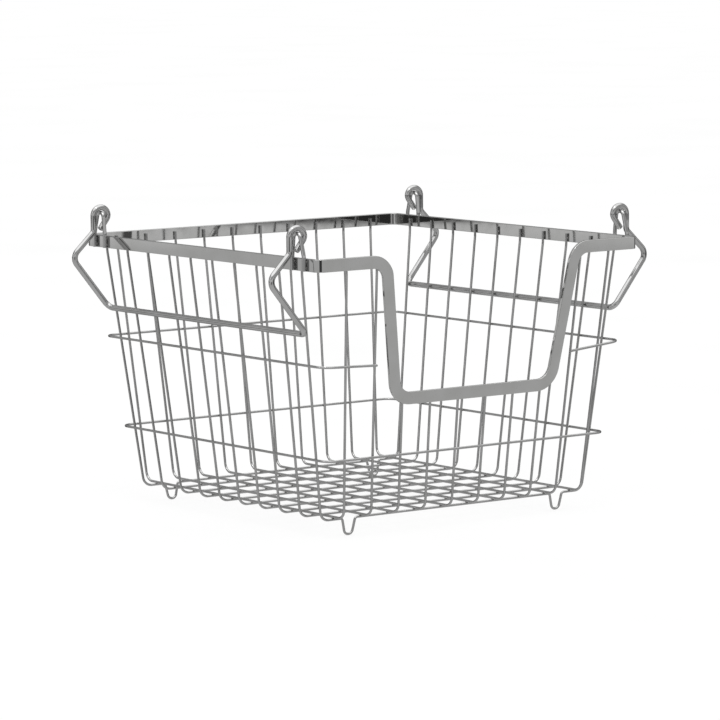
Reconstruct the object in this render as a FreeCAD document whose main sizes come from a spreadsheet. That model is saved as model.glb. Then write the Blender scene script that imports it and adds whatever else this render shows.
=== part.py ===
import FreeCAD, Part
import os
import Sketcher

# Wire basket with a dipped front and two swinging bail handles.
# Millimetres. The origin is on the floor, under the middle of the basket.
# +X is the right side, -Y the dipped front, +Z up.

V = FreeCAD.Vector
WIRES = 10                                  # wires in each direction
DIPPED = range(2, 8)                        # long wires that end at the dip, counted from the left
SIDES = (("left", -1), ("right", 1))
ENDS = (("front", -1), ("back", 1))

DIMENSIONS = [
    ("rim_w", 401),                         # rim band, outside, side to side
    ("rim_d", 412.5),                       # rim band, outside, front to back
    ("rim_z", 266.75),                      # height of the band's lower edge
    ("band_w", 12.5),                       # flat bar, width
    ("band_t", 3.5),                        # flat bar, thickness
    ("band_edge", 0.6),                     # rounding of the bar's edges
    ("rim_corner", 9),                      # outside radius of the rim's corners
    ("rim_return", 8),                      # straight front stretch that belongs to the ring
    ("kink_z", 264),                        # height where the walls start to slope in
    ("kink_bend", 30),                      # radius of that slight bend
    ("side_slope", 0.126),                  # inward slope of the two sides
    ("end_slope", 0.1144),                  # inward slope of the front and the back
    ("dip_z", 129),                         # lower edge of the band in the dip
    ("dip_top", 118.4),                     # half width of the dip, bar centre, at the rim
    ("dip_base", 97.3),                     # half width of the dip, bar centre, at its bottom
    ("dip_top_bend", 18),                   # bend radii of the bar, at its centre
    ("dip_base_bend", 20),
    ("wire_d", 2.5),                        # mesh wire and hoops
    ("wire_bend", 10),                      # bend between wall and bottom
    ("weld", 0.03),                         # how deep welded wires sink into each other
    ("tail", 9),                            # how far a wire end reaches up behind the band
    ("cross_z", 17.5),                      # height of the cross wires' bottom runs
    ("cross_rim_step", 38.3),               # spacing of the cross wires along the rim
    ("cross_base_step", 34.75),             # and along the bottom
    ("long_rim_step", 36.5),                # spacing of the long wires along the rim
    ("long_base_step", 33.2),               # and along the bottom
    ("foot_x", 131),                        # feet, from the middle
    ("foot_top", 8),                        # half width of a foot at its top
    ("foot_base", 4.2),                     # and at its base
    ("foot_top_bend", 3),
    ("foot_base_bend", 5),
    ("lower_hoop_z", 79),
    ("upper_hoop_z", 173),
    ("hoop_corner", 12.5),
    ("hoop_end", 122),                      # the upper hoop ends on the last full-height front wires
    ("hoop_drop_left", 2.2),                # how much lower its two ends are than the ring
    ("hoop_drop_right", 6),
    ("hoop_tip", 0.4),                      # rounding of its cut ends
    ("staple_d", 4),                        # wire of the four handle staples
    ("staple_y", 175.5),                    # their distance from the middle
    ("staple_foot", 9.5),                   # half spacing of a staple's legs on the band
    ("staple_head", 5),                     # half spacing at the arch
    ("staple_lean", 2),                     # how far the arch lies inwards of the legs' middle
    ("staple_neck_z", 281),                 # height where the legs start to lean together
    ("staple_neck_bend", 12),
    ("staple_bend", 5.5),
    ("pivot_z", 303),                       # centre of the arch wire, which carries the handle
    ("handle_d", 6),                        # wire of the handles
    ("play", 0.3),                          # gap between hook and arch
    ("hook_r", 8.4),                        # radius of the hook, at the wire's centre
    ("hook_side", 8.7),                     # half distance between the hook's two limbs
    ("hook_in_z", 298),                     # height where the inner limb turns back
    ("hook_in_bend", 8),
    ("hook_tip_out", 1),                    # how far the tip passes the arch
    ("hook_tip_z", 285.5),
    ("arm_y", 175),                         # plane of the arms
    ("arm_top_z", 283.5),                   # where the outer limb turns outward
    ("arm_top_bend", 6),
    ("knee_x", 237.2),                      # outermost corner of the arm, before rounding
    ("knee_z", 258.3),
    ("knee_bend", 10),
    ("grip_x", 193.1),
    ("grip_z", 204.4),
    ("grip_bend", 8),
    ("handle_tip", 1.2),                    # rounding of the hooks' cut ends
]

# Distances that several pieces share, as expressions on the sheet.
WIRE_X = "(Dims.rim_w / 2 - Dims.band_t - Dims.wire_d / 2 + Dims.weld)"
WIRE_Y = "(Dims.rim_d / 2 - Dims.band_t - Dims.wire_d / 2 + Dims.weld)"
LONG_Z = "(Dims.cross_z + Dims.wire_d - Dims.weld)"
PIVOT_X = "(Dims.rim_w / 2 + Dims.staple_d / 2 - Dims.weld)"
DIP_LEAN = "atan((Dims.dip_top - Dims.dip_base) / (Dims.rim_z - Dims.dip_z))"
DIP_SHIFT = "(Dims.band_w / 2 * tan((90 deg - %s) / 2))" % DIP_LEAN


def make_sheet(doc):
    sheet = doc.addObject("Spreadsheet::Sheet", "Dims")
    for row, (alias, value) in enumerate(DIMENSIONS, start=1):
        sheet.set("A%d" % row, alias)
        sheet.set("B%d" % row, str(value))
        sheet.setAlias("B%d" % row, alias)
    doc.recompute()
    return sheet


def value_of(obj, expression):
    result = obj.evalExpression(expression)
    return float(getattr(result, "Value", result))


def bind(sketch, constraint, expression):
    index = sketch.addConstraint(constraint)
    sketch.setExpression("Constraints[%d]" % index, expression)


def bend_trim(before, after, radius):
    """How much of each straight run a bend of that radius takes up."""
    return radius * (after - before).Length / (after + before).Length


def draw_outline(sketch, corners, closed=False):
    """Straight lines through the corners, with a tangent arc at each corner that has a radius.

    A corner is (first coordinate, second coordinate, radius or None), all expressions.
    """
    count = len(corners)
    points = [V(value_of(sketch, h), value_of(sketch, v), 0) for h, v, radius in corners]
    radii = [value_of(sketch, radius) if radius else 0 for h, v, radius in corners]
    marks = []
    for point, (h, v, radius) in zip(points, corners):
        mark = sketch.addGeometry(Part.Point(point), True)
        bind(sketch, Sketcher.Constraint("DistanceX", -1, 1, mark, 1, point.x), h)
        bind(sketch, Sketcher.Constraint("DistanceY", -1, 1, mark, 1, point.y), v)
        marks.append(mark)

    runs = count if closed else count - 1
    ways = [(points[(i + 1) % count] - points[i]).normalize() for i in range(runs)]
    trims = [0.0] * count
    for i in range(count):
        if radii[i]:
            trims[i] = bend_trim(ways[i - 1], ways[i % runs], radii[i])

    lines = []
    for i in range(runs):
        after = (i + 1) % count
        start = points[i] + ways[i] * trims[i]
        end = points[after] - ways[i] * trims[after]
        line = sketch.addGeometry(Part.LineSegment(start, end))
        for corner, spot in ((i, 1), (after, 2)):
            if radii[corner]:
                sketch.addConstraint(Sketcher.Constraint("PointOnObject", marks[corner], 1, line))
            else:
                sketch.addConstraint(Sketcher.Constraint("Coincident", line, spot, marks[corner], 1))
        lines.append(line)

    for i, (h, v, radius) in enumerate(corners):
        if not radius:
            continue
        before, after = ways[i - 1], ways[i]
        left_turn = before.cross(after).z > 0
        inward = V(-before.y, before.x, 0) if left_turn else V(before.y, -before.x, 0)
        first = points[i] - before * trims[i]
        last = points[i] + after * trims[i]
        centre = first + inward * radii[i]
        ends = (first, last) if left_turn else (last, first)
        angles = [V(1, 0, 0).getAngle(p - centre) * (1 if p.y >= centre.y else -1) for p in ends]
        circle = Part.Circle(centre, V(0, 0, 1), radii[i])
        arc = sketch.addGeometry(Part.ArcOfCircle(circle, angles[0], angles[1]))
        first_spot, last_spot = (1, 2) if left_turn else (2, 1)
        sketch.addConstraint(Sketcher.Constraint("Tangent", lines[i - 1], 2, arc, first_spot))
        sketch.addConstraint(Sketcher.Constraint("Tangent", arc, last_spot, lines[i], 1))
        bind(sketch, Sketcher.Constraint("Radius", arc, radii[i]), radius)


def origin_plane(body, role):
    return next(f for f in body.Origin.OriginFeatures if f.Role == role)


def new_sketch(body, name, role, offset=("0", "0", "0")):
    sketch = body.newObject("Sketcher::SketchObject", name)
    sketch.AttachmentSupport = [(origin_plane(body, role), "")]
    sketch.MapMode = "FlatFace"
    for axis, expression in zip("xyz", offset):
        if expression != "0":
            sketch.setExpression("AttachmentOffset.Base." + axis, expression)
    return sketch


def pipe_body(doc, name, role, corners, start, diameter, closed=False):
    """A round wire along an outline. start is the plane and place where its section is drawn."""
    body = doc.addObject("PartDesign::Body", name)
    body.Label = name
    path = new_sketch(body, name + "_path", role)
    draw_outline(path, corners, closed)
    section = new_sketch(body, name + "_section", *start)
    section.addGeometry(Part.Circle(V(0, 0, 0), V(0, 0, 1), value_of(section, diameter) / 2))
    section.addConstraint(Sketcher.Constraint("Coincident", 0, 3, -1, 1))
    bind(section, Sketcher.Constraint("Diameter", 0, value_of(section, diameter)), diameter)
    doc.recompute()
    pipe = body.newObject("PartDesign::AdditivePipe", name + "_pipe")
    pipe.Profile = section
    pipe.Spine = path
    return body


def tilted(axis, offset, height, lean):
    """Placement of a wire whose plane leans about its own bottom run."""
    return "placement(vector(%s); rotation(vector(%s); atan(%s)))" % ("; ".join(offset + (height,)), axis, lean)


def make_cross_wire(doc, number):
    """A wire up one side, along the bottom and up the other. The first and last carry the feet."""
    place = number - (WIRES + 1) / 2
    lean = "(%s * (Dims.cross_rim_step - Dims.cross_base_step) / (Dims.rim_z - Dims.cross_z))" % place
    top = "Dims.rim_z + Dims.tail - Dims.cross_z"
    kink = "(Dims.kink_z - Dims.cross_z)"
    base_x = "(%s - Dims.side_slope * %s)" % (WIRE_X, kink)
    foot_z = "-(Dims.cross_z - Dims.wire_d / 2) * sqrt(1 + %s^2)" % lean

    def foot(sign):
        middle = "%d * Dims.foot_x" % sign
        leg = [
            ("Dims.foot_top", "0", "Dims.foot_top_bend"),
            ("Dims.foot_base", foot_z, "Dims.foot_base_bend"),
        ]
        down = [("%s - %s" % (middle, half), v, bend) for half, v, bend in leg]
        up = [("%s + %s" % (middle, half), v, bend) for half, v, bend in reversed(leg)]
        return down + up

    corners = [
        ("-" + WIRE_X, top, None),
        ("-" + WIRE_X, kink, "Dims.kink_bend"),
        ("-" + base_x, "0", "Dims.wire_bend"),
        (base_x, "0", "Dims.wire_bend"),
        (WIRE_X, kink, "Dims.kink_bend"),
        (WIRE_X, top, None),
    ]
    if number in (1, WIRES):
        corners[3:3] = foot(-1) + foot(1)
    start = ("XY_Plane", ("-" + WIRE_X, "0", top))
    body = pipe_body(doc, "cross_wire_%d" % number, "XZ_Plane", corners, start, "Dims.wire_d")
    offset = ("0", "%s * Dims.cross_base_step" % place)
    body.setExpression("Placement", tilted("1; 0; 0", offset, "Dims.cross_z", "-" + lean))
    return body


def make_long_wire(doc, number):
    """A wire down the back, along the bottom and up the front, to the rim or to the dip."""
    place = number - (WIRES + 1) / 2
    lean = "(%s * (Dims.long_rim_step - Dims.long_base_step) / (Dims.rim_z - Dims.cross_z))" % place
    top = "Dims.rim_z + Dims.tail - %s" % LONG_Z
    kink = "(Dims.kink_z - %s)" % LONG_Z
    base_y = "(%s - Dims.end_slope * %s)" % (WIRE_Y, kink)
    corners = [
        (WIRE_Y, top, None),
        (WIRE_Y, kink, "Dims.kink_bend"),
        (base_y, "0", "Dims.wire_bend"),
        ("-" + base_y, "0", "Dims.wire_bend"),
    ]
    if number - 1 in DIPPED:
        end = "(Dims.dip_z + Dims.tail - %s)" % LONG_Z
        corners.append(("-(%s + Dims.end_slope * %s)" % (base_y, end), end, None))
    else:
        corners.append(("-" + WIRE_Y, kink, "Dims.kink_bend"))
        corners.append(("-" + WIRE_Y, top, None))
    start = ("XY_Plane", ("0", WIRE_Y, top))
    body = pipe_body(doc, "long_wire_%d" % number, "YZ_Plane", corners, start, "Dims.wire_d")
    offset = ("%s * Dims.long_base_step" % place, "0")
    body.setExpression("Placement", tilted("0; 1; 0", offset, LONG_Z, lean))
    return body


def hoop_half_sizes(height):
    """Half sizes of a ring that lies round the outside of the upright wires at a height."""
    half_x = "(%s - Dims.side_slope * (Dims.kink_z - %s) + Dims.wire_d)" % (WIRE_X, height)
    half_y = "(%s - Dims.end_slope * (Dims.kink_z - %s) + Dims.wire_d)" % (WIRE_Y, height)
    return half_x, half_y


def make_lower_hoop(doc):
    half_x, half_y = hoop_half_sizes("Dims.lower_hoop_z")
    turns = ((1, 1), (1, -1), (-1, -1), (-1, 1))
    corners = [("0", half_y, None)]
    corners += [("%d * %s" % (i, half_x), "%d * %s" % (j, half_y), "Dims.hoop_corner") for i, j in turns]
    start = ("YZ_Plane", (half_y, "0", "0"))
    body = pipe_body(doc, "lower_hoop", "XY_Plane", corners, start, "Dims.wire_d", closed=True)
    body.setExpression("Placement.Base.z", "Dims.lower_hoop_z")
    return body


def make_staple(doc, end_name, end, side_name, side):
    """The welded arch that a handle's hook hangs on, its legs flat on the outside of the band."""
    arch = "(%d * Dims.staple_lean)" % -end
    legs = [
        ("0", "Dims.staple_foot", "Dims.rim_z + Dims.play", None),
        ("0", "Dims.staple_foot", "Dims.staple_neck_z", "Dims.staple_neck_bend"),
        (arch, "Dims.staple_head", "Dims.pivot_z", "Dims.staple_bend"),
    ]
    corners = [("%s - %s" % (middle, half), height, bend) for middle, half, height, bend in legs]
    corners += [("%s + %s" % (middle, half), height, bend) for middle, half, height, bend in reversed(legs)]
    start = ("XY_Plane", ("0", "-Dims.staple_foot", "Dims.rim_z + Dims.play"))
    name = "%s_%s_staple" % (end_name, side_name)
    body = pipe_body(doc, name, "YZ_Plane", corners, start, "Dims.staple_d")
    body.setExpression("Placement.Base.x", "%d * %s" % (side, PIVOT_X))
    body.setExpression("Placement.Base.y", "%d * Dims.staple_y" % end)
    return body


def extruded(doc, name, outline, attach, length, centred=False):
    """A solid swept straight from a closed outline, or half to each side of it when centred.

    attach is the placement of the outline's sketch.
    """
    sketch = doc.addObject("Sketcher::SketchObject", name + "_outline")
    sketch.Placement = attach
    draw_outline(sketch, outline, closed=True)
    solid = doc.addObject("Part::Extrusion", name)
    solid.Base = sketch
    solid.DirMode = "Normal"
    solid.Solid = True
    solid.Symmetric = centred
    solid.setExpression("LengthFwd", length)
    return solid


def sharp_edges(shape):
    """Numbers of the edges where two faces meet at an angle, as Part::Fillet counts them."""
    found = []
    for number, edge in enumerate(shape.Edges, start=1):
        middle = edge.valueAt((edge.FirstParameter + edge.LastParameter) / 2)
        faces = shape.ancestorsOfType(edge, Part.Face)
        normals = [face.normalAt(*face.Surface.parameter(middle)) for face in faces]
        if normals[0].getAngle(normals[-1]) > 0.5:
            found.append(number)
    return found


def make_rim_band(doc, sheet):
    """One flat bar, bent on edge into the dip and on the flat round the corners."""
    half_w, half_d = "Dims.rim_w / 2", "Dims.rim_d / 2"
    return_x = "(Dims.rim_w / 2 - Dims.rim_corner - Dims.rim_return)"
    turns = ((-1, -1), (-1, 1), (1, 1), (1, -1))
    outside = [("%d * %s" % (i, half_w), "%d * %s" % (j, half_d), "Dims.rim_corner") for i, j in turns]
    inside = [("%d * (%s - Dims.band_t)" % (i, half_w), "%d * (%s - Dims.band_t)" % (j, half_d),
               "Dims.rim_corner - Dims.band_t") for i, j in reversed(turns)]
    ring_outline = [("-" + return_x, "-" + half_d, None)] + outside + [
        (return_x, "-" + half_d, None),
        (return_x, "-(%s - Dims.band_t)" % half_d, None),
    ] + inside + [("-" + return_x, "-(%s - Dims.band_t)" % half_d, None)]
    ring = extruded(doc, "rim_ring", ring_outline, FreeCAD.Placement(), "Dims.band_w")
    ring.setExpression("Placement.Base.z", "Dims.rim_z")

    # The front, seen from the side: upright at the rim, then leaning in with the wires.
    low_z = "(Dims.dip_z - Dims.band_w)"
    drop = "Dims.end_slope * (Dims.kink_z - %s)" % low_z
    top_z = "Dims.rim_z + Dims.band_w"
    plate_outline = [
        ("-" + half_d, top_z, None),
        ("-" + half_d, "Dims.kink_z", "Dims.kink_bend + Dims.band_t"),
        ("-%s + %s" % (half_d, drop), low_z, None),
        ("-%s + %s + Dims.band_t" % (half_d, drop), low_z, None),
        ("-%s + Dims.band_t" % half_d, "Dims.kink_z", "Dims.kink_bend"),
        ("-%s + Dims.band_t" % half_d, top_z, None),
    ]
    facing_x = FreeCAD.Placement(V(0, 0, 0), FreeCAD.Rotation(V(1, 1, 1), 120))
    plate = extruded(doc, "front_plate", plate_outline, facing_x, "Dims.rim_w", centred=True)

    # The front, seen from the front: the bar's outline down into the dip and up again.
    upper = [
        (return_x, "0", None),
        ("(Dims.dip_top - %s)" % DIP_SHIFT, "0", "Dims.dip_top_bend + Dims.band_w / 2"),
        ("(Dims.dip_base - %s)" % DIP_SHIFT, "Dims.dip_z - Dims.rim_z",
         "Dims.dip_base_bend - Dims.band_w / 2"),
    ]
    lower = [
        (return_x, "0", None),
        ("(Dims.dip_top + %s)" % DIP_SHIFT, "0", "Dims.dip_top_bend - Dims.band_w / 2"),
        ("(Dims.dip_base + %s)" % DIP_SHIFT, "Dims.dip_z - Dims.rim_z",
         "Dims.dip_base_bend + Dims.band_w / 2"),
    ]
    high = [(h, "Dims.rim_z + Dims.band_w + " + v, bend) for h, v, bend in upper]
    deep = [(h, "Dims.rim_z + " + v, bend) for h, v, bend in lower]
    bar_outline = [("-" + h, v, bend) for h, v, bend in high] + high[::-1]
    bar_outline += deep + [("-" + h, v, bend) for h, v, bend in reversed(deep)]
    facing_front = FreeCAD.Placement(V(0, 0, 0), FreeCAD.Rotation(V(1, 0, 0), 90))
    sweep = extruded(doc, "front_sweep", bar_outline, facing_front, "Dims.rim_d / 2 + Dims.band_w")

    front = doc.addObject("Part::Common", "rim_front")
    front.Base = plate
    front.Tool = sweep
    bar = doc.addObject("Part::Fuse", "rim_bar")
    bar.Base = ring
    bar.Tool = front
    bar.Refine = True
    doc.recompute()
    band = doc.addObject("Part::Fillet", "rim_band")
    band.Base = bar
    band.Edges = [(number, sheet.band_edge, sheet.band_edge) for number in sharp_edges(bar.Shape)]
    return band


def bent_wire(points, radii):
    """Part.Wire of straight runs joined by tangent arcs, for a path that leaves its plane."""
    edges = []
    start = points[0]
    for i in range(1, len(points) - 1):
        before = (points[i] - points[i - 1]).normalize()
        after = (points[i + 1] - points[i]).normalize()
        trim = bend_trim(before, after, radii[i])
        first = points[i] - before * trim
        last = points[i] + after * trim
        towards = (after - before).normalize()
        reach = (trim ** 2 + radii[i] ** 2) ** 0.5 - radii[i]
        edges.append(Part.LineSegment(start, first).toShape())
        edges.append(Part.Arc(first, points[i] + towards * reach, last).toShape())
        start = last
    edges.append(Part.LineSegment(start, points[-1]).toShape())
    return Part.Wire(edges)


def make_bent_wire(doc, name, points, radii, diameter, rounding):
    """A round wire through points that do not all lie in one plane, with its cut ends rounded."""
    path = bent_wire(points, radii)
    section = Part.Wire(Part.Circle(points[0], points[1] - points[0], diameter / 2).toShape())
    shape = path.makePipeShell([section], True, False)
    rims = [face.Edges[0] for face in shape.Faces if isinstance(face.Surface, Part.Plane)]
    wire = doc.addObject("Part::Feature", name)
    wire.Label = name
    wire.Shape = shape.makeFillet(rounding, rims)
    return wire


def make_upper_hoop(doc, sheet):
    """A ring that is open across the dip. Its two ends drop a little, in the plane of the front wires."""
    half_x, half_y = (value_of(sheet, size) for size in hoop_half_sizes("Dims.upper_hoop_z"))
    ring_z = sheet.upper_hoop_z
    left, right = (
        V(side * sheet.hoop_end, sheet.end_slope * drop - half_y, ring_z - drop)
        for side, drop in ((-1, sheet.hoop_drop_left), (1, sheet.hoop_drop_right))
    )
    turns = ((-1, -1), (-1, 1), (1, 1), (1, -1))
    points = [left] + [V(i * half_x, j * half_y, ring_z) for i, j in turns] + [right]
    radii = [sheet.hoop_corner] * len(points)
    return make_bent_wire(doc, "upper_hoop", points, radii, sheet.wire_d, sheet.hoop_tip)


def make_handle(doc, sheet, side_name, side):
    """A bail: a straight grip, and at each end an arm with a knee and an open hook."""
    pivot_x = value_of(sheet, PIVOT_X)
    hook_y = sheet.staple_y - sheet.staple_lean
    hook_top = sheet.pivot_z + sheet.staple_d / 2 + sheet.play + sheet.handle_d / 2
    arm = [
        (pivot_x + sheet.hook_tip_out, hook_y, sheet.hook_tip_z, 0),
        (pivot_x - sheet.hook_side, hook_y, sheet.hook_in_z, sheet.hook_in_bend),
        (pivot_x - sheet.hook_side, hook_y, hook_top, sheet.hook_r),
        (pivot_x + sheet.hook_side, hook_y, hook_top, sheet.hook_r),
        (pivot_x + sheet.hook_side, hook_y, sheet.arm_top_z, sheet.arm_top_bend),
        (sheet.knee_x, sheet.arm_y, sheet.knee_z, sheet.knee_bend),
        (sheet.grip_x, sheet.arm_y, sheet.grip_z, sheet.grip_bend),
    ]
    points = [V(side * x, -y, z) for x, y, z, bend in arm]
    points += [V(side * x, y, z) for x, y, z, bend in reversed(arm)]
    radii = [bend for x, y, z, bend in arm]
    name = side_name + "_handle"
    return make_bent_wire(doc, name, points, radii + radii[::-1], sheet.handle_d, sheet.handle_tip)


def export(doc, nodes):
    """Write one STEP file for each sub-part, after checking every object of the document."""
    doc.recompute()
    failed = [o.Label for o in doc.Objects if {"Invalid", "Error"} & set(o.State)]
    failed += [n.Label for n in nodes if n.Shape.isNull() or not n.Shape.isValid()]
    if failed:
        raise RuntimeError("failed objects: " + ", ".join(failed))
    os.makedirs("parts", exist_ok=True)
    for node in nodes:
        node.Shape.exportStep("parts/%s.step" % node.Label)


def main():
    doc = FreeCAD.newDocument("basket")
    sheet = make_sheet(doc)
    nodes = [make_rim_band(doc, sheet)]
    nodes += [make_long_wire(doc, number) for number in range(1, WIRES + 1)]
    nodes += [make_cross_wire(doc, number) for number in range(1, WIRES + 1)]
    nodes += [make_lower_hoop(doc), make_upper_hoop(doc, sheet)]
    for side_name, side in SIDES:
        nodes += [make_staple(doc, end_name, end, side_name, side) for end_name, end in ENDS]
        nodes.append(make_handle(doc, sheet, side_name, side))
    export(doc, nodes)
    return doc, nodes


main()
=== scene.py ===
import math
import random

import bmesh
import bpy
from mathutils import Matrix, Vector


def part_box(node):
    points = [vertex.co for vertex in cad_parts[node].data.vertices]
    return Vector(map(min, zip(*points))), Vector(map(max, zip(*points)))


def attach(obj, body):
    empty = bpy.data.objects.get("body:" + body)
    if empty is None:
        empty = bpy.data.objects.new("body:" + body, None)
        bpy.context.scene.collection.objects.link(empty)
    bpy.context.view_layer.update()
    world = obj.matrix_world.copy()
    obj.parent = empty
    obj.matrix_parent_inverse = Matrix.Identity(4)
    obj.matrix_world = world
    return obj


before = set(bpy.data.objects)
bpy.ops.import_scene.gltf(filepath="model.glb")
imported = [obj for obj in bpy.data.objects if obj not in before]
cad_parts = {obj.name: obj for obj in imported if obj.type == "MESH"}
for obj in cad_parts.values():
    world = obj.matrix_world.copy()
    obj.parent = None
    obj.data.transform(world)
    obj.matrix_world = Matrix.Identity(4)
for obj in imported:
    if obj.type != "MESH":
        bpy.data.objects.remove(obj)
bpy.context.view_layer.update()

# The camera: heading clockwise from +Y, angle below the horizon, lean to one side. Lens and sensor are in mm.
HEADING = math.radians(36.394)
DOWN = math.radians(6.544)
LEAN = math.radians(-0.506)
LENS = 206.9
SENSOR = 36
FARTHEST = 50
EYE = Vector((-2.5096, -3.4044, 0.6353))

# The floor, and what the lamps are aimed at. Noise lies mostly within NOISE_SPAN.
FLOOR_SIZE = 40
FLOOR_GLOW = 0.84
FLOOR_CLOUDS = (3, 4)
FLOOR_GREY = (0.15, 0.17)
NOISE_SPAN = (0.3, 0.7)
MIDDLE = Vector((0, 0, 0.15))

# The studio as the chrome reflects it. A height is the sine of the angle above the horizon. An edge is the
# pair of places where a change begins and ends, and a strip has one edge below and one above.
WHITE = 1.0
LIGHT_BY_HEIGHT = [(-1, 0.62), (-0.3, 0.57), (-0.08, 0.57), (0.02, 0.64), (0.22, 0.74), (0.32, 0.42),
                   (0.62, 0.46), (0.72, 1.5), (1, 1.6)]
TABLE_EDGE = ((-0.0875, -0.0835), (-0.0812, -0.0806))
TABLE_GLOW = 0.18

# Its dark patches. A width is the cosine of the angle from a level heading, again as an edge. The gap lies
# both ways along the heading that the rim's flat sides reflect into the camera. The card hangs below the
# camera, and the flag is wide and stands opposite.
TO_CAMERA = (-0.593, -0.805, 0)
FROM_CAMERA = (0.593, 0.805, 0)
OFF_THE_RIM = (0.593, -0.805, 0)
GAP_HEIGHT = ((-0.0813, -0.0807), (0.03, 0.09))
GAP_WIDTH = (0.86, 0.95)
GAP_DARK = 0.94
CARD_HEIGHT = ((-0.45, -0.38), (0.0, 0.05))
CARD_WIDTH = (0.955, 0.965)
CARD_DARK = 0.9
FLAG_HEIGHT = ((-0.6, -0.4), (0.2, 0.45))
FLAG_WIDTH = (0.38, 0.58)
FLAG_DARK = 0.74

# The plating's noise: scale and detail, and for the marks a scale along each axis too. A span is the part of
# the noise over which a tint changes.
CLOUDS = (38, 5)
CLOUD_SPAN = (0.32, 0.62)
PITS = (900, 2)
PIT_SPAN = (0.22, 0.30)
PIT_TINT = (0.55, 0.54, 0.52)
POLISH = (70, 6)
SWELL = (26, 1)
DRAWING_MARKS = (1500, 3, (1, 1, 0.08))
MARK_STRENGTH = 0.5

# The basket, as far as the weld beads need it.
WIRES = 10
WIRE_R = 0.00125
STAPLE_R = 0.002
BAND_T = 0.0035
HOOP_END = 0.122                            # the upper hoop stops here on each side of the dip
HOOP_DROP = {-1: 0.0022, 1: 0.006}          # and its left and right end droop by this much
BAND_WELD_DROP = 0.0085                     # from the band's top down to the wires' welds
FRONT_BAND = -0.2                           # a long wire that passes this y is welded to the front band
DIP_WELD = (-0.1873, 0.1335)                # y and z where the wires under the dip meet its base
STAPLE_WELDS = (0.003, 0.009)               # heights above the staple's feet

# Weld beads: radius, how one bead differs from the next, and how far it is stretched along its axes.
BEAD = 0.0015
SMALL_BEAD = 0.0012
BEAD_SPREAD = (0.88, 1.12)
BEAD_LUMPS = 0.07
BEAD_STRETCH = ((0.9, 1.2), (0.75, 1.0), (0.5, 0.65))


# ---------------------------------------------------------------- shader nodes

def new_material(name):
    material = bpy.data.materials.new(name)
    material.use_nodes = True
    return material, material.node_tree.links, material.node_tree.nodes


def calculate(nodes, links, operation, *values):
    node = nodes.new("ShaderNodeMath")
    node.operation = operation
    for socket, value in zip(node.inputs, values):
        if isinstance(value, (int, float)):
            socket.default_value = value
        else:
            links.new(value, socket)
    return node.outputs[0]


def noise(nodes, links, scale, detail, stretch=(1, 1, 1)):
    place = nodes.new("ShaderNodeTexCoord")
    mapping = nodes.new("ShaderNodeMapping")
    mapping.inputs["Scale"].default_value = stretch
    links.new(place.outputs["Object"], mapping.inputs["Vector"])
    texture = nodes.new("ShaderNodeTexNoise")
    texture.inputs["Scale"].default_value = scale
    texture.inputs["Detail"].default_value = detail
    links.new(mapping.outputs["Vector"], texture.inputs["Vector"])
    return texture.outputs["Fac"]


def ramp(nodes, links, source, stops):
    """A colour for each value, blended between stops of place and colour."""
    node = nodes.new("ShaderNodeValToRGB")
    elements = node.color_ramp.elements
    while len(elements) < len(stops):
        elements.new(0.5)
    for element, (place, colour) in zip(elements, stops):
        element.position = place
        element.color = colour + (1,)
    links.new(source, node.inputs[0])
    return node.outputs[0]


def step(nodes, links, value, edge, low=0, high=1):
    """Low before the edge, high after it, and blended across it."""
    node = nodes.new("ShaderNodeMapRange")
    node.inputs["From Min"].default_value, node.inputs["From Max"].default_value = edge
    node.inputs["To Min"].default_value = low
    node.inputs["To Max"].default_value = high
    links.new(value, node.inputs["Value"])
    return node.outputs["Result"]


def strip(nodes, links, value, edges):
    """1 between the two edges and 0 outside them."""
    rise, fall = (step(nodes, links, value, edge) for edge in edges)
    return calculate(nodes, links, "SUBTRACT", rise, fall)


def toward(nodes, links, direction, heading):
    """How much a direction of the world points along a level heading, from -1 to 1."""
    node = nodes.new("ShaderNodeVectorMath")
    node.operation = "DOT_PRODUCT"
    links.new(direction, node.inputs[0])
    node.inputs[1].default_value = heading
    return node.outputs["Value"]


# ---------------------------------------------------------------- camera, floor and light

def make_camera():
    data = bpy.data.cameras.new("camera")
    data.lens = LENS
    data.sensor_width = SENSOR
    data.clip_end = FARTHEST
    camera = bpy.data.objects.new("camera", data)
    bpy.context.scene.collection.objects.link(camera)
    turn = (Matrix.Rotation(-HEADING, 4, "Z") @ Matrix.Rotation(math.pi / 2 - DOWN, 4, "X")
            @ Matrix.Rotation(LEAN, 4, "Z"))
    camera.matrix_world = Matrix.Translation(EYE) @ turn
    bpy.context.scene.camera = camera


def make_floor():
    """A lit table: it mostly glows, so the thin wires leave next to no shadow on it."""
    bpy.ops.mesh.primitive_plane_add(size=FLOOR_SIZE, location=(0, 0, 0))
    floor = bpy.context.object
    floor.name = "floor"
    material, links, nodes = new_material("floor")
    shader = nodes["Principled BSDF"]
    shader.inputs["Roughness"].default_value = 0.95
    shader.inputs["Specular IOR Level"].default_value = 0
    shader.inputs["Emission Color"].default_value = (1, 1, 1, 1)
    shader.inputs["Emission Strength"].default_value = FLOOR_GLOW
    stops = [(place, (grey, grey, grey)) for place, grey in zip(NOISE_SPAN, FLOOR_GREY)]
    clouds = ramp(nodes, links, noise(nodes, links, *FLOOR_CLOUDS), stops)
    links.new(clouds, shader.inputs["Base Color"])
    floor.data.materials.append(material)
    floor.visible_glossy = False


def light_levels(nodes, links, height):
    """Brightness of the studio's table, walls and ceiling by height."""
    stops = [((place + 1) / 2, (level, level, level)) for place, level in LIGHT_BY_HEIGHT]
    levels = ramp(nodes, links, calculate(nodes, links, "MULTIPLY_ADD", height, 0.5, 0.5), stops)
    glow = calculate(nodes, links, "MULTIPLY", strip(nodes, links, height, TABLE_EDGE), TABLE_GLOW)
    return calculate(nodes, links, "ADD", levels, glow)


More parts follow.
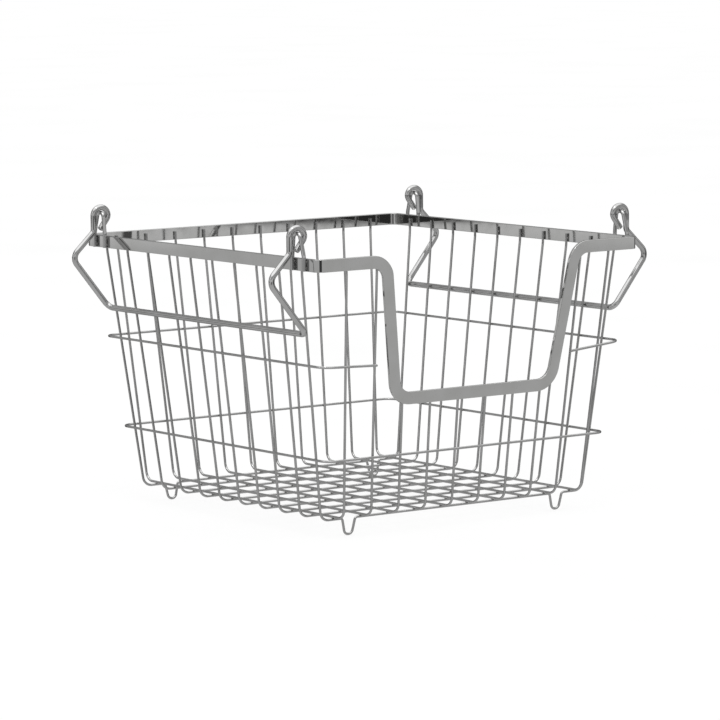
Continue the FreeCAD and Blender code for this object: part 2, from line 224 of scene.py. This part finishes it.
def make_studio():
    """White where it is seen directly. The chrome reflects grey strips, a bright ceiling and dark patches."""
    world = bpy.data.worlds.new("studio")
    bpy.context.scene.world = world
    world.use_nodes = True
    nodes, links = world.node_tree.nodes, world.node_tree.links
    direction = nodes.new("ShaderNodeTexCoord").outputs["Generated"]
    split = nodes.new("ShaderNodeSeparateXYZ")
    links.new(direction, split.inputs[0])
    height = split.outputs["Z"]

    off_the_rim = calculate(nodes, links, "ABSOLUTE", toward(nodes, links, direction, OFF_THE_RIM))
    to_camera = toward(nodes, links, direction, TO_CAMERA)
    from_camera = toward(nodes, links, direction, FROM_CAMERA)
    seen = light_levels(nodes, links, height)
    for edges, heading, width, darkness in (
            (GAP_HEIGHT, off_the_rim, GAP_WIDTH, GAP_DARK),
            (CARD_HEIGHT, to_camera, CARD_WIDTH, CARD_DARK),
            (FLAG_HEIGHT, from_camera, FLAG_WIDTH, FLAG_DARK)):
        patch = calculate(nodes, links, "MULTIPLY", strip(nodes, links, height, edges),
                          step(nodes, links, heading, width))
        left = calculate(nodes, links, "MULTIPLY_ADD", patch, -darkness, 1)
        seen = calculate(nodes, links, "MULTIPLY", seen, left)

    rays = nodes.new("ShaderNodeLightPath")
    change = calculate(nodes, links, "SUBTRACT", seen, WHITE)
    strength = calculate(nodes, links, "MULTIPLY_ADD", rays.outputs["Is Glossy Ray"], change, WHITE)
    links.new(strength, nodes["Background"].inputs["Strength"])
    nodes["Background"].inputs["Color"].default_value = (1, 1, 1, 1)


def make_softbox(name, place, size, power):
    data = bpy.data.lights.new(name, "AREA")
    data.shape = "RECTANGLE"
    data.size, data.size_y = size
    data.energy = power
    light = bpy.data.objects.new(name, data)
    bpy.context.scene.collection.objects.link(light)
    light.location = place
    light.rotation_euler = (MIDDLE - light.location).to_track_quat("-Z", "Y").to_euler()


# ---------------------------------------------------------------- plating

def add_bump(nodes, links, height, strength, distance):
    bump = nodes.new("ShaderNodeBump")
    bump.inputs["Strength"].default_value = strength
    bump.inputs["Distance"].default_value = distance
    links.new(height, bump.inputs["Height"])
    return bump


def make_chrome(name, bright, dull, roughness, wave, grain):
    """Plated steel: cloudy tint, uneven polish, a slow waviness, fine drawing marks and a few pits."""
    material, links, nodes = new_material(name)
    shader = nodes["Principled BSDF"]
    shader.inputs["Metallic"].default_value = 1
    shader.inputs["IOR"].default_value = 1.5

    tint = ramp(nodes, links, noise(nodes, links, *CLOUDS), list(zip(CLOUD_SPAN, (dull, bright))))
    pits = ramp(nodes, links, noise(nodes, links, *PITS), list(zip(PIT_SPAN, (PIT_TINT, (1, 1, 1)))))
    spoiled = nodes.new("ShaderNodeMix")
    spoiled.data_type = "RGBA"
    spoiled.blend_type = "MULTIPLY"
    spoiled.inputs["Factor"].default_value = 1
    links.new(tint, spoiled.inputs["A"])
    links.new(pits, spoiled.inputs["B"])
    links.new(spoiled.outputs["Result"], shader.inputs["Base Color"])

    polish = step(nodes, links, noise(nodes, links, *POLISH), NOISE_SPAN, *roughness)
    links.new(polish, shader.inputs["Roughness"])

    slow = add_bump(nodes, links, noise(nodes, links, *SWELL), 1, wave)
    marks = add_bump(nodes, links, noise(nodes, links, *DRAWING_MARKS), MARK_STRENGTH, grain)
    links.new(slow.outputs["Normal"], marks.inputs["Normal"])
    links.new(marks.outputs["Normal"], shader.inputs["Normal"])
    return material


# ---------------------------------------------------------------- where the welds are

def run_and_rim(name, axis):
    """Where a wire's bottom run and its top lie along an axis, from the two sides of its box."""
    low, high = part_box(name)
    low, high = low[axis] + WIRE_R, high[axis] - WIRE_R
    return (low, high) if abs(low) < abs(high) else (high, low)


def along(name, axis, height):
    """Where an upright wire stands along the wall at a height. The wires spread towards the rim."""
    base, rim = run_and_rim(name, axis)
    bottom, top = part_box(name)[0][2] + WIRE_R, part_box(name)[1][2]
    if name in ("cross_wire_1", "cross_wire_%d" % WIRES):       # their boxes reach down to the feet
        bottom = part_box("cross_wire_2")[0][2] + WIRE_R
    return base + (rim - base) * (height - bottom) / (top - bottom)


def both_ways(spot, facing):
    """The same joint on both sides of the basket, mirrored along the direction it faces."""
    mirror = [-1 if part else 1 for part in facing]
    return [(spot, facing), ([a * b for a, b in zip(spot, mirror)], [-part for part in facing])]


def bottom_spots():
    """Where the two sets of wires cross under the goods."""
    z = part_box("cross_wire_2")[0][2] + 2 * WIRE_R
    spots = []
    for i in range(1, WIRES + 1):
        x = run_and_rim("long_wire_%d" % i, 0)[0]
        for j in range(1, WIRES + 1):
            y = run_and_rim("cross_wire_%d" % j, 1)[0]
            spots.append(((x, y, z), (0, 0, 1)))
    return spots


def hoop_spots(name, open_front):
    """Where a hoop passes outside the upright wires. An open one droops towards its two ends."""
    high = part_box(name)[1]
    half_x, half_y, level = high[0] - WIRE_R, high[1] - WIRE_R, high[2] - WIRE_R
    spots = []
    for number in range(1, WIRES + 1):
        y = along("cross_wire_%d" % number, 1, level)
        spots += both_ways((half_x - WIRE_R, y, level), (1, 0, 0))
        x = along("long_wire_%d" % number, 0, level)
        back, front = both_ways((x, half_y - WIRE_R, level), (0, 1, 0))
        spots.append(back)
        if not open_front:
            spots.append(front)
        elif abs(x) > HOOP_END:
            drop = HOOP_DROP[int(math.copysign(1, x))] * (half_x - abs(x)) / (half_x - HOOP_END)
            spots.append(((x, front[0][1], level - drop), front[1]))
    return spots


def band_spots():
    """Where the upright wires' ends are welded to the inside of the band."""
    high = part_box("rim_band")[1]
    level = high[2] - BAND_WELD_DROP
    spots = []
    for number in range(1, WIRES + 1):
        y = run_and_rim("cross_wire_%d" % number, 1)[1]
        spots += both_ways((high[0] - BAND_T, y, level), (1, 0, 0))
        name = "long_wire_%d" % number
        x = run_and_rim(name, 0)[1]
        back, front = both_ways((x, high[1] - BAND_T, level), (0, 1, 0))
        spots.append(back)
        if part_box(name)[0][1] < FRONT_BAND:
            spots.append(front)
        else:
            y, z = DIP_WELD
            spots.append(((along(name, 0, z), y, z), front[1]))
    return spots


def staple_spots():
    """Two welds on each leg of each staple."""
    spots = []
    for end in ("front", "back"):
        low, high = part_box(end + "_right_staple")
        for y in (low[1] + STAPLE_R, high[1] - STAPLE_R):
            for height in STAPLE_WELDS:
                spots += both_ways((low[0], y, low[2] + height), (1, 0, 0))
    return spots


# ---------------------------------------------------------------- weld beads

def add_bead(mesh, place, facing, size, chance):
    """A nugget of squeezed metal: a lens across the joint, lumpy, and longer one way."""
    turn = facing.to_track_quat("Z", "Y").to_matrix().to_4x4()
    turn = turn @ Matrix.Rotation(chance.uniform(0, math.pi), 4, "Z")
    stretch = Matrix.Diagonal([chance.uniform(*span) for span in BEAD_STRETCH] + [1])
    made = bmesh.ops.create_icosphere(mesh, subdivisions=2, radius=size)
    for vertex in made["verts"]:
        vertex.co *= 1 + chance.uniform(-BEAD_LUMPS, BEAD_LUMPS)
    bmesh.ops.transform(mesh, matrix=Matrix.Translation(place) @ turn @ stretch, verts=made["verts"])


def make_beads(name, spots, size, material):
    mesh = bmesh.new()
    chance = random.Random(name)
    for place, facing in spots:
        add_bead(mesh, Vector(place), Vector(facing), size * chance.uniform(*BEAD_SPREAD), chance)
    for face in mesh.faces:
        face.smooth = True
    data = bpy.data.meshes.new(name)
    mesh.to_mesh(data)
    mesh.free()
    data.materials.append(material)
    piece = bpy.data.objects.new(name, data)
    bpy.context.scene.collection.objects.link(piece)
    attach(piece, "basket")


# ---------------------------------------------------------------- the scene

bpy.context.scene.view_settings.view_transform = "Standard"
make_camera()
make_floor()
make_studio()
make_softbox("overhead", place=(-0.7, -0.6, 2.6), size=(0.5, 0.35), power=5)
make_softbox("left_window", place=(-2.6, 0.2, 1.7), size=(0.4, 1.2), power=3)

# Waviness and drawing marks are in metres.
wire_chrome = make_chrome("wire_chrome", bright=(0.49, 0.49, 0.49), dull=(0.41, 0.41, 0.405),
                          roughness=(0.05, 0.14), wave=0.00003, grain=0.000004)
bar_chrome = make_chrome("bar_chrome", bright=(0.56, 0.56, 0.555), dull=(0.52, 0.52, 0.51),
                         roughness=(0.015, 0.035), wave=0.000003, grain=0.0000003)
handle_chrome = make_chrome("handle_chrome", bright=(0.55, 0.55, 0.55), dull=(0.46, 0.46, 0.455),
                            roughness=(0.015, 0.035), wave=0.000006, grain=0.0000004)
weld_chrome = make_chrome("weld_chrome", bright=(0.42, 0.41, 0.40), dull=(0.24, 0.235, 0.23),
                          roughness=(0.22, 0.42), wave=0.00006, grain=0.00002)

FINISH = {"rim_band": bar_chrome, "left_handle": handle_chrome, "right_handle": handle_chrome}
for name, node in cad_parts.items():
    finish = FINISH.get(name, handle_chrome if name.endswith("staple") else wire_chrome)
    for slot in node.material_slots:
        slot.material = finish

make_beads("bottom_welds", bottom_spots(), BEAD, weld_chrome)
hoop_welds = hoop_spots("lower_hoop", open_front=False) + hoop_spots("upper_hoop", open_front=True)
make_beads("hoop_welds", hoop_welds, BEAD, weld_chrome)
make_beads("band_welds", band_spots(), SMALL_BEAD, weld_chrome)
make_beads("staple_welds", staple_spots(), BEAD, weld_chrome)
